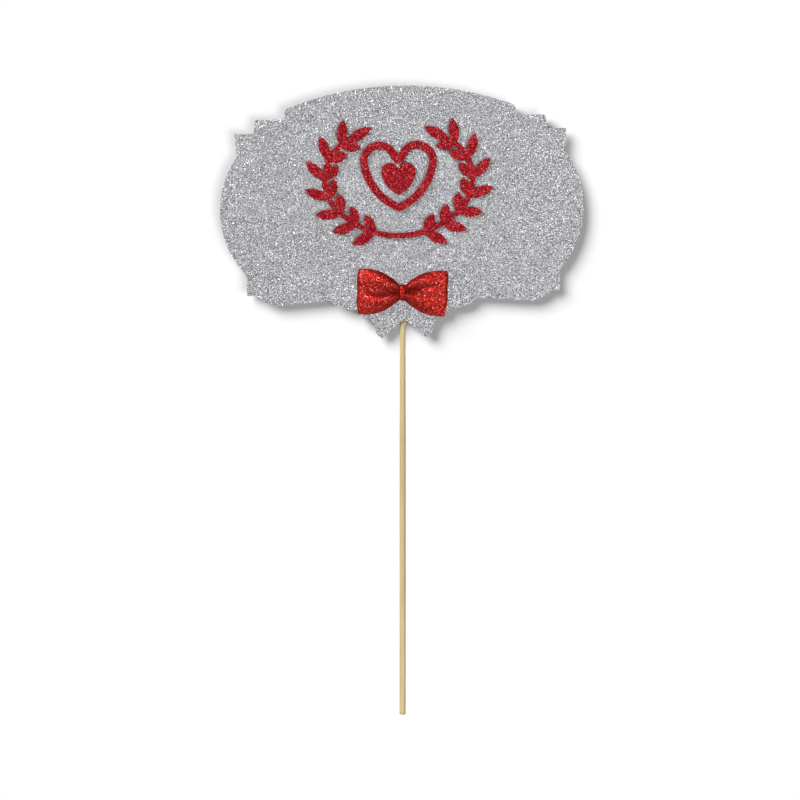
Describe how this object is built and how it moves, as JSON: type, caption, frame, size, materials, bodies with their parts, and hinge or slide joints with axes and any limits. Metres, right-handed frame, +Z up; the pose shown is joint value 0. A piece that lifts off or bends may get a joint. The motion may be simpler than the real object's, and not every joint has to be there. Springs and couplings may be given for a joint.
{
  "type": "photo booth prop sign",
  "caption": "Hand-held party sign: glitter foam plaque with stepped, scalloped outline, red laurel and heart cut-outs and a pinched bow, glued to a bamboo stick.",
  "frame": {"origin": "centre of the stick's lower cut end", "axes": "+Z up the stick, the face of the sign looks along -Y, +X to the right of a viewer in front"},
  "size_m": [0.2199, 0.0153, 0.39],
  "materials": {
    "silver_foam": "matt closed-cell foam",
    "silver_glitter": "coarse silver glitter",
    "red_foam": "matt closed-cell foam",
    "red_glitter": "fine red glitter",
    "bow_strip": "red glitter-coated strip",
    "bamboo": "plain sanded bamboo",
    "hot_melt": "clear set hot-melt glue"
  },
  "bodies": {
    "root": {"plaque_foam_sheet": "silver_foam", "plaque_glitter_film": "silver_glitter", "laurel_foam_cutout": "red_foam", "laurel_glitter_film": "red_glitter", "heart_foam_cutouts": "red_foam", "heart_glitter_films": "red_glitter", "cutout_glue_dabs": "hot_melt", "bow_loop": "bow_strip", "bow_band": "bow_strip", "bow_glue_dab": "hot_melt", "bamboo_stick": "bamboo", "stick_glue_bead": "hot_melt"}
  },
  "joints": []
}
